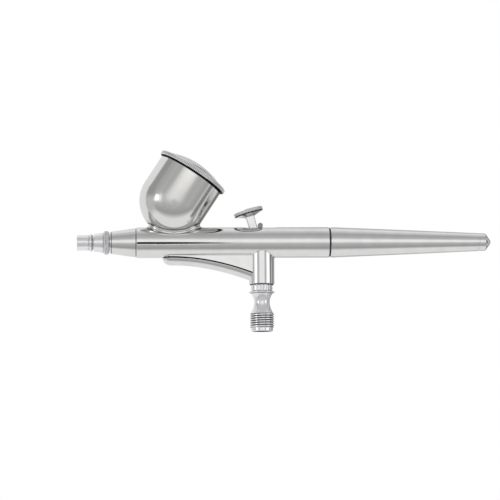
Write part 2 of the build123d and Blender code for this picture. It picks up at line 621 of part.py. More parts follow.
ROD_R = 0.8
DISC_TOP = 19.0
DISC_BOTTOM = 18.0
DISC_R = 1.6
PLUNGER_HEAD_BOTTOM = 27.6
PLUNGER_TOP = 29.8
with BuildPart() as valve_plunger:
    with BuildSketch(VALVE_SIDE):
        with BuildLine():
            Polyline(
                (0, 14.8), (ROD_R, 14.8), (ROD_R, DISC_BOTTOM), (DISC_R, DISC_BOTTOM), (DISC_R, DISC_TOP),
                (ROD_R, DISC_TOP), (ROD_R, PLUNGER_HEAD_BOTTOM),
                (VALVE_WELL_R - RUNNING, PLUNGER_HEAD_BOTTOM), (VALVE_WELL_R - RUNNING, PLUNGER_TOP),
                (0, PLUNGER_TOP), close=True,
            )
        make_face()
    revolve(axis=Axis.Z)
    # socket for the trigger's rounded foot
    with BuildSketch(Plane(origin=PIVOT, z_dir=(0, 1, 0))):
        Circle(STEM_FOOT_R + RUNNING)
    extrude(amount=VALVE_WELL_R, both=True, mode=Mode.SUBTRACT)
valve_plunger.part.label = "valve_plunger"
export_step(valve_plunger.part, "parts/valve_plunger.step")

with BuildPart() as plunger_packing:
    with BuildSketch(Plane.XY.offset(PACKING_FLOOR)):
        Circle(PACKING_ROOM_R)
        Circle(ROD_R + RUNNING, mode=Mode.SUBTRACT)
    extrude(amount=CASING_TOP - PACKING_FLOOR)
plunger_packing.part.label = "plunger_packing"
export_step(plunger_packing.part, "parts/plunger_packing.step")

with BuildPart() as valve_seal:
    with BuildSketch(Plane.XY.offset(DISC_TOP)):
        Circle(DISC_R + 0.1)
        Circle(ROD_R, mode=Mode.SUBTRACT)
    extrude(amount=SEAT_BOTTOM - DISC_TOP - RUNNING)
valve_seal.part.label = "valve_seal"
export_step(valve_seal.part, "parts/valve_seal.step")

SCREW_TOP = 11.2
SCREW_LENGTH = 2.6
with BuildPart() as valve_screw:
    with BuildSketch(Plane.XY.offset(SCREW_TOP)):
        Circle(SPRING_ROOM_R)
        Circle(0.9, mode=Mode.SUBTRACT)
    extrude(amount=-SCREW_LENGTH)
    with BuildSketch(Plane.XY.offset(SCREW_TOP - SCREW_LENGTH)):
        Rectangle(2 * SPRING_ROOM_R, 0.6)
    extrude(amount=0.8, mode=Mode.SUBTRACT)
valve_screw.part.label = "valve_screw"
export_step(valve_screw.part, "parts/valve_screw.step")

VALVE_WIRE_R = 0.2
VALVE_COIL_R = 1.5
valve_coil_length = DISC_BOTTOM - SCREW_TOP - 2 * VALVE_WIRE_R
valve_coil = coil(Plane.XY.offset(SCREW_TOP + VALVE_WIRE_R), valve_coil_length, 6, VALVE_COIL_R)
with BuildPart() as valve_spring:
    with BuildSketch(Plane(origin=valve_coil @ 0, z_dir=valve_coil % 0)):
        Circle(VALVE_WIRE_R)
    sweep(path=valve_coil, is_frenet=True)
valve_spring.part.label = "valve_spring"
export_step(valve_spring.part, "parts/valve_spring.step")
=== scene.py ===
import json
import math
import bmesh
import bpy
import numpy as np
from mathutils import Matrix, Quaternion, Vector


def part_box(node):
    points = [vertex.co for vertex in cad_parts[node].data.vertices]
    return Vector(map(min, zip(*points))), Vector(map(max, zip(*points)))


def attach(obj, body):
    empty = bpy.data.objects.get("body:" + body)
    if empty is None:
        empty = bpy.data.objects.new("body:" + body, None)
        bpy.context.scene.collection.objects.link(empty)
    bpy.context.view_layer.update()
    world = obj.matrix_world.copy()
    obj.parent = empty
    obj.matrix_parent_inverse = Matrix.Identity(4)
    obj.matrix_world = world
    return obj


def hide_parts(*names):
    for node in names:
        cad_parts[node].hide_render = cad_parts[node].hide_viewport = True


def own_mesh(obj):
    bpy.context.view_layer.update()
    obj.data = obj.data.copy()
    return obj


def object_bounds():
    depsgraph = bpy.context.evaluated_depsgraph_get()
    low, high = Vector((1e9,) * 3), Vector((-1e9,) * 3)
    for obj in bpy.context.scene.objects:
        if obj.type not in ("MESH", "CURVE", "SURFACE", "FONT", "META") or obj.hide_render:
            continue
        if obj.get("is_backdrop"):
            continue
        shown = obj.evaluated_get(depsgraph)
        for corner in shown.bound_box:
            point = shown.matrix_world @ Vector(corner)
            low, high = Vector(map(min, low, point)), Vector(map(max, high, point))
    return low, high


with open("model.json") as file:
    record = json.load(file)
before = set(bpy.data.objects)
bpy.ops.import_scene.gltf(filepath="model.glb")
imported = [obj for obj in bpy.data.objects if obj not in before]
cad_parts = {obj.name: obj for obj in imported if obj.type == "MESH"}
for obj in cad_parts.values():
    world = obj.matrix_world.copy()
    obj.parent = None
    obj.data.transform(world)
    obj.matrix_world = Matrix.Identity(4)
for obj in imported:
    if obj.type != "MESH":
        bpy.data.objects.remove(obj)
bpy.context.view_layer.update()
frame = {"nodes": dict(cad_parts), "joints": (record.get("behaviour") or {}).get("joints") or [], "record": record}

# Airbrush gun. Lengths in this script are millimetres in the frame of the CAD model, and are turned
# into metres where a mesh is made.
MM = 0.001
TAU = 2 * math.pi


# ---------------------------------------------------------------- sizes from the CAD model
def span(node):
    """A CAD node's box in millimetres: low x, y, z and high x, y, z."""
    low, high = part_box(node)
    return [v / MM for v in (*low, *high)]


handle_box = span("handle")
ring_box = span("handle_ring")
head_box = span("head")
air_box = span("air_cap")
tip_box = span("needle_cap")
casing_box = span("valve_casing")
seal_box = span("casing_seal")
body_box = span("gun_body")
nut_box = span("chuck_nut")
BARREL_Z = (handle_box[2] + handle_box[5]) / 2
BARREL_R = body_box[5] - BARREL_Z
RECORD = frame["record"]
JOINTS = {j["name"]: j for j in frame["joints"]}
PIVOT = np.array(JOINTS["trigger_pull"]["pos_m"]) / MM
CUP_UP = np.array(JOINTS["lid_lift"]["axis"])
CUP_UP = CUP_UP / np.linalg.norm(CUP_UP)
cup_box = span("paint_cup")
CUP_R = cup_box[4]
CUP_CENTRE = np.array([cup_box[0] + CUP_R, 0.0, cup_box[2] + CUP_R])


# ---------------------------------------------------------------- turned shapes
class Axle:
    """A line that shapes are turned about: a point on it, its direction, and the side that angle 0 faces."""

    def __init__(self, origin, along, side):
        self.origin = np.array(origin, float)
        self.along = np.array(along, float) / np.linalg.norm(along)
        side = np.array(side, float)
        side = side - self.along * side.dot(self.along)
        self.side = side / np.linalg.norm(side)
        self.third = np.cross(self.along, self.side)


BARREL = Axle((0, 0, BARREL_Z), (1, 0, 0), (0, 0, 1))
VALVE = Axle((0, 0, 0), (0, 0, 1), (1, 0, 0))
CUP = Axle(CUP_CENTRE, CUP_UP, (1, 0, 0))
TRIGGER_LEAN = math.radians(16.3)
STEM = Axle(PIVOT, (-math.sin(TRIGGER_LEAN), 0, math.cos(TRIGGER_LEAN)), (1, 0, 0))

# the middle of the finger rest's rounded edge: a Bezier's points in (x, height over the barrel's axis)
WEB = np.array([(-36.3, -5.7), (-24.0, -5.7), (-12.0, -8.6), (0.0, -13.5)])
WEB_HALF = 3.3
BOSS_R = 5.05


def web_line(t):
    """Points on the finger rest's curve, for a column of values from 0 at its nose to 1."""
    u = 1 - t
    return u ** 3 * WEB[0] + 3 * t * u ** 2 * WEB[1] + 3 * t * t * u * WEB[2] + t ** 3 * WEB[3]


def web_slope(t):
    """Unit vectors along the finger rest's curve."""
    u = 1 - t
    slope = u ** 2 * (WEB[1] - WEB[0]) + 2 * t * u * (WEB[2] - WEB[1]) + t * t * (WEB[3] - WEB[2])
    return slope / np.linalg.norm(slope, axis=1, keepdims=True)


def left_of(p, q):
    """The unit vector to the left of the step from p to q."""
    along, out = q[0] - p[0], q[1] - p[1]
    size = math.hypot(along, out) or 1.0
    return np.array([-out / size, along / size])


def soften(points, radius=0.08, closed=True):
    """Rounds a profile's corners. Points are (along, out) or (along, out, corner radius), with the material
    on the right of the path. Gives rows of (along, out, normal along, normal out)."""
    rows = []
    count = len(points)
    for i, point in enumerate(points):
        here = np.array(point[:2], float)
        before = np.array(points[i - 1][:2], float) if closed or i else None
        after = np.array(points[(i + 1) % count][:2], float) if closed or i < count - 1 else None
        if before is None or after is None:
            n = left_of(here, after) if before is None else left_of(before, here)
            rows.append((*here, *n))
            continue
        n1, n2 = left_of(before, here), left_of(here, after)
        cross = n1[0] * n2[1] - n1[1] * n2[0]
        turn = math.atan2(cross, float(n1.dot(n2)))
        if abs(turn) < math.radians(14):
            n = n1 + n2
            rows.append((*here, *(n / np.linalg.norm(n))))
            continue
        room = 0.45 * min(np.linalg.norm(here - before), np.linalg.norm(after - here))
        asked = point[2] if len(point) > 2 else radius
        back = min(asked * math.tan(abs(turn) / 2), room)
        true_r = back / math.tan(abs(turn) / 2)
        d1 = np.array([n1[1], -n1[0]])
        start = here - d1 * back
        bulge = -1.0 if turn < 0 else 1.0
        centre = start + n1 * true_r * bulge
        steps = max(2, int(math.ceil(abs(turn) / math.radians(20))))
        for k in range(steps + 1):
            a = turn * k / steps
            cos, sin = math.cos(a), math.sin(a)
            n = np.array([n1[0] * cos - n1[1] * sin, n1[0] * sin + n1[1] * cos])
            rows.append((*(centre - n * true_r * bulge), *n))
    return rows


def refine(rows, low, high, step, beyond=0.0, closed=True):
    """Adds rows, no further apart than step, to straight stretches between two stations, outside a radius."""
    out = []
    count = len(rows)
    for i in range(count):
        a, b = rows[i], rows[(i + 1) % count]
        out.append(a)
        if i == count - 1 and not closed:
            break
        middle = (a[0] + b[0]) / 2
        length = math.hypot(b[0] - a[0], b[1] - a[1])
        if low <= middle <= high and min(a[1], b[1]) > beyond and length > step:
            parts = int(math.ceil(length / step))
            for k in range(1, parts):
                t = k / parts
                n = np.array([a[2] + (b[2] - a[2]) * t, a[3] + (b[3] - a[3]) * t])
                n /= np.linalg.norm(n)
                out.append((a[0] + (b[0] - a[0]) * t, a[1] + (b[1] - a[1]) * t, *n))
    return out


def paint_shade(mesh, values):
    """Stores painted shade on each vertex, from 0 to 1: how dark and dull its recess is painted. Below 0 it is
    dull but not dark.
    """
    attribute = mesh.attributes.new("painted_shade", "FLOAT", "POINT")
    attribute.data.foreach_set("value", [float(v) for v in values])


def shade(mesh, normals):
    """Smooth shading with the exact normals."""
    mesh.polygons.foreach_set("use_smooth", [True] * len(mesh.polygons))
    mesh.normals_split_custom_set_from_vertices([tuple(n) for n in normals])
    mesh.update()


def facing_out(name, verts, faces):
    """A closed mesh from vertices in metres, with all its faces turned outward."""
    mesh = bpy.data.meshes.new(name)
    mesh.from_pydata([tuple(v) for v in verts], [], faces)
    bm = bmesh.new()
    bm.from_mesh(mesh)
    bmesh.ops.recalc_face_normals(bm, faces=bm.faces)
    if bm.calc_volume(signed=True) < 0:
        bmesh.ops.reverse_faces(bm, faces=bm.faces)
    bm.to_mesh(mesh)
    bm.free()
    return mesh


def place(name, mesh, body, slot, *nodes):
    """Links a mesh as a piece of the gun that rides on a body and may stand for CAD nodes."""
    piece = bpy.data.objects.new(name, mesh)
    bpy.context.scene.collection.objects.link(piece)
    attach(piece, body)
    if nodes:
        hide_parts(*nodes)
    return piece


def turned(name, axle, rows, segments=128, closed=True, relief=None, painted_shade=None):
    """A mesh of a profile turned about an axle. relief(along, out, angle) is how far the surface moves along its
    normal, the last argument is a function of the same that gives how dark the painted shade is, and both work on
    arrays."""
    rows = np.array(rows, float)
    count = len(rows)
    angle = np.arange(segments) * TAU / segments
    radial = np.cos(angle)[:, None] * axle.side + np.sin(angle)[:, None] * axle.third
    out = np.maximum(rows[:, 1], 0)
    normal = rows[:, 2, None, None] * axle.along + rows[:, 3, None, None] * radial[None]
    grid = axle.origin + rows[:, 0, None, None] * axle.along + out[:, None, None] * radial[None]
    if relief is not None:
        lift = relief(rows[:, 0, None], out[:, None], angle[None, :]) * np.ones((count, segments))
        grid = grid + normal * lift[:, :, None]
        shaped = np.abs(lift).max(axis=1) > 1e-6
        round_way = np.roll(grid, -1, axis=1) - np.roll(grid, 1, axis=1)
        if closed:
            long_way = np.roll(grid, -1, axis=0) - np.roll(grid, 1, axis=0)
        else:
            long_way = np.gradient(grid, axis=0)
        cross = np.cross(round_way, long_way)
        size = np.linalg.norm(cross, axis=2, keepdims=True)
        cross = cross / np.maximum(size, 1e-12)
        good = (size[:, :, 0] > 1e-9) & shaped[:, None]
        normal = np.where(good[:, :, None], cross, normal)
    shade_paint = np.zeros((count, segments))
    if painted_shade is not None:
        shade_paint = shade_paint + painted_shade(rows[:, 0, None], out[:, None], angle[None, :])
    verts, normals, index, dark = [], [], [], []
    for i in range(count):
        if out[i] < 1e-6:
            index.append([len(verts)] * segments)
            verts.append(grid[i, 0] * MM)
            normals.append(axle.along * (1 if rows[i, 2] > 0 else -1))
            dark.append(shade_paint[i, 0])
        else:
            index.append(list(range(len(verts), len(verts) + segments)))
            verts.extend(grid[i] * MM)
            normals.extend(normal[i])
            dark.extend(shade_paint[i])
    faces = []
    for i in range(count if closed else count - 1):
        a, b = index[i], index[(i + 1) % count]
        for j in range(segments):
            k = (j + 1) % segments
            face = [a[j], a[k], b[k], b[j]]
            trimmed = [v for n, v in enumerate(face) if v != face[n - 1]]
            if len(set(trimmed)) > 2:
                faces.append(trimmed)
    mesh = bpy.data.meshes.new(name)
    mesh.from_pydata([tuple(v) for v in verts], [], faces)
    paint_shade(mesh, dark)
    shade(mesh, normals)
    return mesh


def arc(centre, radius, start, end, steps):
    """Points on an arc, in (along, out), with the angles measured from the along direction in degrees."""
    angles = np.radians(np.linspace(start, end, steps))
    return [(centre[0] + radius * math.cos(a), centre[1] + radius * math.sin(a)) for a in angles]


def smooth_step(low, high, value):
    t = np.clip((value - low) / (high - low), 0, 1)
    return t * t * (3 - 2 * t)


def window(low, high, edge, value):
    """1 between low and high, and falling to 0 over edge inside each end."""
    return smooth_step(low, low + edge, value) * (1 - smooth_step(high - edge, high, value))


def teeth(angle, count, sharp=0.8):
    """0 on a tooth's crest and 1 in its root."""
    return (0.5 - 0.5 * np.cos(angle * count)) ** sharp


def extent(node, axle):
    """How far a CAD node reaches along an axle, low and high, and out from it."""
    points = np.array([v.co for v in frame["nodes"][node].data.vertices]) / MM - axle.origin
    along = points.dot(axle.along)
    out = np.linalg.norm(points - along[:, None] * axle.along, axis=1)
    return along.min(), along.max(), out.max()


# ---------------------------------------------------------------- materials
def node_tree(material):
    material.use_nodes = True
    tree = material.node_tree
    tree.nodes.clear()
    return tree


class Graph:
    """Short calls for building a node tree."""

    def __init__(self, tree):
        self.tree = tree

    def add(self, kind, **settings):
        node = self.tree.nodes.new(kind)
        for key, value in settings.items():
            if key in node.inputs:
                node.inputs[key].default_value = value
            else:
                setattr(node, key, value)
        return node

    def join(self, source, target):
        self.tree.links.new(source, target)

    def math(self, operation, a, b=None, c=None, clamp=False):
        node = self.tree.nodes.new("ShaderNodeMath")
        node.operation = operation
        node.use_clamp = clamp
        for slot, value in enumerate((a, b, c)):
            if value is None:
                continue
            if isinstance(value, (int, float)):
                node.inputs[slot].default_value = value
            else:
                self.join(value, node.inputs[slot])
        return node.outputs[0]

    def ramp(self, value, stops, interpolation="LINEAR"):
        node = self.tree.nodes.new("ShaderNodeValToRGB")
        node.color_ramp.interpolation = interpolation
        elements = node.color_ramp.elements
        while len(elements) > 1:
            elements.remove(elements[-1])
        for n, (position, colour) in enumerate(stops):
            element = elements[0] if n == 0 else elements.new(position)
            element.position = position
            if isinstance(colour, (int, float)):
                colour = (colour, colour, colour)
            element.color = (*colour, 1)
        self.join(value, node.inputs["Fac"])
        return node.outputs["Color"]


def surface(name, colour, metallic, rough, rough_spread, scale, bump, spots=None, turned_lines=0.0,
            **settings):
    """A material whose colour, roughness and height vary with noise of a scale in cycles per metre, and whose
    colour is darkened and roughness raised by painted shade stored on the mesh.
    """
    material = bpy.data.materials.new(name)
    g = Graph(node_tree(material))
    where = g.add("ShaderNodeTexCoord").outputs["Object"]
    soft = g.add("ShaderNodeTexNoise", Scale=scale * 0.12, Detail=3.0, Roughness=0.55)
    fine = g.add("ShaderNodeTexNoise", Scale=scale, Detail=4.0, Roughness=0.6)
    for texture in (soft, fine):
        g.join(where, texture.inputs["Vector"])
    shader = g.add("ShaderNodeBsdfPrincipled", Metallic=metallic)
    for key, value in settings.items():
        shader.inputs[key.replace("_", " ")].default_value = value
    dark = tuple(c * 0.93 for c in colour)
    mixed = g.ramp(soft.outputs["Fac"], [(0.3, dark), (0.65, colour)])
    if spots is not None:
        speck = g.ramp(fine.outputs["Fac"], [(0.60, (1, 1, 1)), (0.70, spots)])
        blend = g.add("ShaderNodeMix", data_type="RGBA", blend_type="MULTIPLY")
        blend.inputs["Factor"].default_value = 1.0
        g.join(mixed, blend.inputs[6])
        g.join(speck, blend.inputs[7])
        mixed = blend.outputs[2]
    # painted shade: the mesh's attribute mixes the colour towards near-black and raises the roughness; below 0 it
    # only dulls
    shade_paint = g.add("ShaderNodeAttribute", attribute_name="painted_shade").outputs["Fac"]
    shaded_base = g.add("ShaderNodeMix", data_type="RGBA")
    g.join(shade_paint, shaded_base.inputs["Factor"])
    g.join(mixed, shaded_base.inputs[6])
    shaded_base.inputs[7].default_value = (0.006, 0.006, 0.007, 1)
    g.join(shaded_base.outputs[2], shader.inputs["Base Color"])
    level = g.math("MULTIPLY_ADD", fine.outputs["Fac"], rough_spread, rough - rough_spread / 2, clamp=True)
    level = g.math("MULTIPLY_ADD", g.math("ABSOLUTE", shade_paint), 0.5, level, clamp=True)
    g.join(level, shader.inputs["Roughness"])
    if bump:
        height = fine.outputs["Fac"]
        if turned_lines:
            split = g.add("ShaderNodeSeparateXYZ")
            g.join(where, split.inputs[0])
            lines = g.add("ShaderNodeTexNoise", noise_dimensions="1D", Scale=turned_lines, Detail=2.0)
            g.join(split.outputs["X"], lines.inputs["W"])
            height = g.math("MULTIPLY_ADD", lines.outputs["Fac"], 0.6, height)
        hills = g.add("ShaderNodeBump", Strength=bump, Distance=0.00002)
        g.join(height, hills.inputs["Height"])
        g.join(hills.outputs["Normal"], shader.inputs["Normal"])
    end = g.add("ShaderNodeOutputMaterial")
    g.join(shader.outputs[0], end.inputs["Surface"])
    return material


MATERIALS = {
    "chrome": surface("chrome", (0.87, 0.87, 0.865), 1.0, 0.045, 0.05, 2200, 0.05, turned_lines=9000),
    "pale_chrome": surface("pale_chrome", (0.96, 0.96, 0.985), 0.7, 0.07, 0.08, 2200, 0.08,
                           turned_lines=9000),
    "satin_chrome": surface("satin_chrome", (0.865, 0.86, 0.84), 1.0, 0.13, 0.09, 420, 0.05),
    "dark_steel": surface("dark_steel", (0.30, 0.30, 0.31), 1.0, 0.3, 0.14, 3500, 0.3),
    "steel": surface("steel", (0.62, 0.61, 0.60), 1.0, 0.22, 0.14, 3500, 0.3, turned_lines=12000),
    "brass": surface("brass", (0.72, 0.55, 0.27), 1.0, 0.24, 0.16, 3200, 0.3, spots=(0.8, 0.74, 0.62)),
    "black_rubber": surface("black_rubber", (0.022, 0.022, 0.024), 0.0, 0.5, 0.2, 2600, 0.5,
                            spots=(0.6, 0.6, 0.6)),
    "packing_white": surface("packing_white", (0.80, 0.79, 0.76), 0.0, 0.45, 0.2, 2400, 0.35,
                             spots=(0.93, 0.92, 0.9)),
}


def finish_of(piece, finish):
    piece.data.materials.clear()
    piece.data.materials.append(MATERIALS[finish])


# every CAD node gets the finish of its own slot, and the back lever is a darker steel
for part in RECORD["subparts"]:
    finish_of(frame["nodes"][part["node"]], part["material_slot"])
finish_of(frame["nodes"]["back_lever"], "dark_steel")


def body_of(node):
    for body, members in RECORD["behaviour"]["bodies"].items():
        if node in members:
            return body
    return "gun"


def stand_for(node, mesh, slot="chrome", finish=None):
    """Shows a mesh in place of a CAD node, on the same body."""
    piece = place(node + "_shell", mesh, body_of(node), slot, node)
    finish_of(piece, finish or slot)
    return piece


# ---------------------------------------------------------------- needle cap
front, back = tip_box[0] + 0.2, tip_box[3]
tube_r = 3.08
ring_r = tip_box[4]
rows = soften([
    (front, 2.45), (front, tube_r, 0.14), (back - 1.9, tube_r, 0.2), (back - 1.5, tube_r - 0.1, 0.06),
    (back - 1.3, tube_r - 0.1, 0.06), (back - 1.15, ring_r - 0.1, 0.1), (back - 0.9, ring_r, 0.1),
    (back - 0.35, ring_r, 0.1), (back - 0.28, ring_r - 0.4, 0.05), (back, ring_r - 0.4, 0.05), (back, 2.66),
    (back - 1.7, 2.66), (back - 1.7, 2.32), (front + 0.35, 2.32, 0.1),
])


# painted shade in the groove before the ring and at the ring's back step
def tip_painted_shade(along, out, angle):
    step = window(back - 1.62, back - 1.12, 0.1, along) * (out < tube_r - 0.02) * (out > 2.8)
    joint = (along > back - 0.33) * (out > 2.7) * (out < ring_r - 0.15)
    return np.maximum(0.25 * step, 0.9 * joint)


tip = turned("needle_cap_shell", BARREL, rows, 128, painted_shade=tip_painted_shade)
stand_for("needle_cap", tip, finish="pale_chrome")

# ---------------------------------------------------------------- air cap with its knurled bead
front, back = air_box[0], air_box[3]
bead_front, bead_back = back - 2.1, back
face = tip_box[3] + 0.5
bead_mid = (bead_front + bead_back) / 2
bead = [(bead_mid + 0.98 * x, 4.22 + (air_box[4] - 4.22) * math.sqrt(max(0.0, 1 - x * x)))
        for x in np.linspace(-0.96, 0.96, 25)]
rows = soften(
    [(face, 2.65), (face, 3.5, 0.2), (bead_front - 0.35, 4.06, 0.05), (bead_front - 0.12, 3.9, 0.05)] + bead
    + [(back - 0.05, 3.95, 0.03), (back, 3.95, 0.03), (back, 3.36), (back - 2.0, 3.36), (back - 2.1, 2.9),
       (back - 4.3, 2.2), (front + 0.7, 0.62), (front, 0.62, 0.05), (front, 2.58, 0.08),
       (face - 0.05, 2.58)], 0.06)


def bead_knurl(along, out, angle):
    crest = window(bead_mid - 0.95, bead_mid + 0.95, 0.45, along) * (out > 4.3)
    return -0.12 * crest * teeth(angle, 60) * (0.4 + 0.6 * np.abs(np.sin((along - bead_mid) * 4.2)))


# painted shade in the bead's knurl roots, at the steps before and behind the bead and round the mouth
def air_painted_shade(along, out, angle):
    roots = 0.75 * window(bead_mid - 0.95, bead_mid + 0.95, 0.45, along) * (out > 4.3) * teeth(angle, 60, 2)
    before = (along > bead_front - 0.3) * (along < bead_front + 0.05) * (out < 4.2) * (out > 3.6)
    behind = (along > back - 0.12) * (out > 3.4) * (out < 4.35)
    mouth = (along > face - 0.1) * (along < face + 0.03) * (out > 2.6)
    return np.maximum(roots, np.maximum(np.maximum(0.4 * before, 0.85 * behind), 0.8 * mouth))


nose = turned("air_cap_shell", BARREL, rows, 60 * 8, relief=bead_knurl, painted_shade=air_painted_shade)
stand_for("air_cap", nose, finish="pale_chrome")

# ---------------------------------------------------------------- head
front, back = head_box[0] + 2.4, body_box[0]
rows = soften([
    (front, 3.3), (front, 4.1, 0.05), (front + 0.16, 4.36, 0.06), (front + 0.6, 4.44, 0.05),
    (front + 0.68, 4.34, 0.04), (front + 0.82, 4.36, 0.04), (front + 0.9, 4.5, 0.05),
    (back - 0.34, 5.86, 0.08), (back - 0.12, 5.6, 0.05), (back, 5.6, 0.05), (back, 4.2), (back - 0.8, 4.2),
    (back - 0.8, 3.1), (back, 3.1), (back, 2.6), (head_box[3], 2.6), (head_box[3], 1.1), (front + 0.6, 1.1),
    (front + 0.6, 1.5), (head_box[0], 1.5), (head_box[0], 3.3, 0.15),
], 0.06)


# painted shade and painted reflection lines: at the joint with the body, in the groove and at the front edge
def head_painted_shade(along, out, angle):
    joint = smooth_step(back - 0.26, back - 0.14, along) * (out > 5.0)
    groove = window(front + 0.62, front + 0.88, 0.06, along) * (out > 4.2) * (out < 4.42)
    start = (along < front + 0.1) * (out > 3.6)
    return np.maximum(0.9 * joint, np.maximum(0.7 * groove, 0.8 * start))


stand_for("head", turned("head_shell", BARREL, rows, 160, painted_shade=head_painted_shade))

# ---------------------------------------------------------------- handle and its black ring
front, back = handle_box[0], handle_box[3]
end_r = 3.45
groove = back - 4.8


def handle_radius(x):
    """A straight taper, a little fuller in the middle."""
    t = (x - front) / (back - 2.0 - front)
    return 6.12 + (end_r + 0.02 - 6.12) * t + 0.05 * math.sin(math.pi * t)


skin = [(x, handle_radius(x)) for x in np.linspace(front + 1.0, groove - 0.3, 34)]
groove_r = handle_radius(groove)
skin += [(groove - 0.12, groove_r, 0.05), (groove, groove_r - 0.13, 0.05),
         (groove + 0.22, groove_r - 0.13, 0.05), (groove + 0.34, handle_radius(groove + 0.34), 0.05)]
rows = soften(
    [(back - 12.2, 0.0), (back - 13.2, 1.6), (60.0, 1.6), (57.0, 3.5), (35.4, 3.5), (34.4, 4.95),
     (front, 4.95), (front, 5.86, 0.1), (front + 0.22, 6.1, 0.12)] + skin
    + [(back - 2.25, end_r + 0.03, 0.25), (back - 1.9, end_r - 0.28, 0.3), (back - 0.62, 1.28, 0.1)]
    + arc((back - 1.5, 0), 1.5, 52, 1, 9) + [(back, 0.0)], 0.08, closed=False)
stand_for("handle", turned("handle_shell", BARREL, rows, 192, closed=False))

front, back = ring_box[0], ring_box[3]
rows = soften([(front, 4.95), (front, 5.78, 0.2), (back, 5.78, 0.2), (back, 4.95)], 0.1)
stand_for("handle_ring", turned("handle_ring_shell", BARREL, rows, 128), "black_rubber")

# ---------------------------------------------------------------- paint cup, with its drain
rim = extent("paint_cup", CUP)[1]
wall = 0.9
outer_ball = arc((0, 0), CUP_R, 180, 92, 40)
inner_ball = arc((0, 0), CUP_R - wall, 92, 180, 40)
rows = soften(
    outer_ball
    + [(0.2, CUP_R), (rim - 0.5, CUP_R), (rim - 0.34, CUP_R), (rim - 0.2, CUP_R), (rim, CUP_R - 0.2, 0.05),
       (rim, CUP_R - wall, 0.25), (0.2, CUP_R - wall)]
    + inner_ball, 0.1, closed=False)
rows[0] = (-CUP_R, 0.0, -1.0, 0.0)
rows[-1] = (-(CUP_R - wall), 0.0, 1.0, 0.0)


# painted shade on the top of the cup's rim, in the gap under the lid
def cup_painted_shade(along, out, angle):
    edge = rim - 0.16 - 0.1 * np.cos(angle)
    return (along > edge) * (out > CUP_R - wall + 0.1)


cup_mesh = turned("paint_cup_shell", CUP, rows, 192, closed=False, painted_shade=cup_painted_shade)


DRAIN_R = 2.0
DULL_R = 2.4                    # the dull patch on the cup's near side, and where it has faded out
DULL_END = 6.0


def drill_drain(mesh, radius):
    """Cuts the vertical drain through the bottom of the cup, and joins the two edges of the hole. Close to the
    barrel the cup gets painted shade in dark rings, standing for shade and reflections at its foot, and on its
    near side a dull patch."""
    bm = bmesh.new()
    bm.from_mesh(mesh)
    centre = Vector(CUP_CENTRE * MM)
    near = [v for v in bm.verts
            if math.hypot(v.co.x - centre.x, v.co.y) < radius * MM and v.co.z < centre.z]
    bmesh.ops.delete(bm, geom=near, context="VERTS")
    edges = [e for e in bm.edges if e.is_boundary]
    for v in {v for e in edges for v in e.verts}:
        flat = Vector((v.co.x - centre.x, v.co.y, 0))
        ball = (v.co - centre).length
        flat *= radius * MM / flat.length
        v.co = centre + flat + Vector((0, 0, -math.sqrt(ball * ball - flat.length_squared)))
    bmesh.ops.bridge_loops(bm, edges=edges)
    bm.to_mesh(mesh)
    bm.free()
    normals = []
    shade_paint = mesh.attributes["painted_shade"].data
    dull_middle = CUP_R * np.array([-0.05, -0.992, -0.10])
    for i, v in enumerate(mesh.vertices):
        p = np.array(v.co) / MM - CUP_CENTRE
        # painted shade and painted reflection: dark rings on the cup where it comes close to the barrel
        if np.linalg.norm(p) > CUP_R - wall / 2 and p[2] < 0:
            gap = math.hypot(p[1], p[2] + CUP_CENTRE[2] - BARREL_Z) - BARREL_R
            rings = 0.72 + 0.28 * math.cos(TAU * (gap - 0.5) / 1.15)
            shade_paint[i].value = max(shade_paint[i].value, 0.82 * rings * (1 - float(smooth_step(1.2, 3.4, gap))))
        from_middle = np.linalg.norm(p - dull_middle)
        if from_middle < DULL_END and shade_paint[i].value < 0.01:
            shade_paint[i].value = -0.34 * (1 - float(smooth_step(DULL_R, DULL_END, from_middle)))
        up = float(p.dot(CUP_UP))
        out = p - CUP_UP * up
        flat = np.linalg.norm(out)
        n = p / np.linalg.norm(p) if up < 0 else out / max(flat, 1e-9)
        inside = (np.linalg.norm(p) if up < 0 else flat) < CUP_R - wall / 2
        if up > rim - 0.35:
            normals.append(tuple(v.normal))
        else:
            normals.append(tuple(-n if inside else n))
    shade(mesh, normals)


drill_drain(cup_mesh, DRAIN_R)
stand_for("paint_cup", cup_mesh, finish="satin_chrome")

# ---------------------------------------------------------------- cup lid: knurled rim, skirt and domed crown
skirt_low, lid_top, LID_R = extent("cup_lid", CUP)
lid_low = rim + 0.4
lid_high = lid_low + 1.8
SKIRT_R = CUP_R - wall - 0.05


def crown(top, low, reach, count):
    """Points on a dome of the given top, from its edge at the given reach in to the vent hole."""
    rise = top - low
    ball = (reach ** 2 + rise ** 2) / (2 * rise)
    return [(top - ball + math.sqrt(ball ** 2 - r * r), r) for r in np.linspace(reach, 0.6, count)]


dome = crown(lid_top, lid_high + 0.35, LID_R - 2.5, 24)
vault = crown(lid_top - 1.3, lid_low, SKIRT_R - 0.9, 24)[::-1]
rows = soften(
    vault + [
        (skirt_low, SKIRT_R - 0.9, 0.1), (skirt_low, SKIRT_R, 0.2), (lid_low + 0.1, SKIRT_R, 0.05),
        (lid_low + 0.1, LID_R - 0.35, 0.1), (lid_low + 0.4, LID_R, 0.1), (lid_high - 0.35, LID_R, 0.15),
        (lid_high, LID_R - 0.5, 0.2), (lid_high - 0.05, LID_R - 1.7, 0.15),
        (lid_high - 0.25, LID_R - 1.9, 0.1), (lid_high - 0.2, LID_R - 2.3, 0.1)] + dome)
rows = refine(rows, lid_low, lid_high, 0.12, beyond=LID_R - 0.5)


def lid_knurl(along, out, angle):
    side = window(lid_low + 0.1, lid_high + 0.1, 0.35, along) * (out > LID_R - 0.9)
    return -0.17 * side * teeth(angle, 132, 0.7)


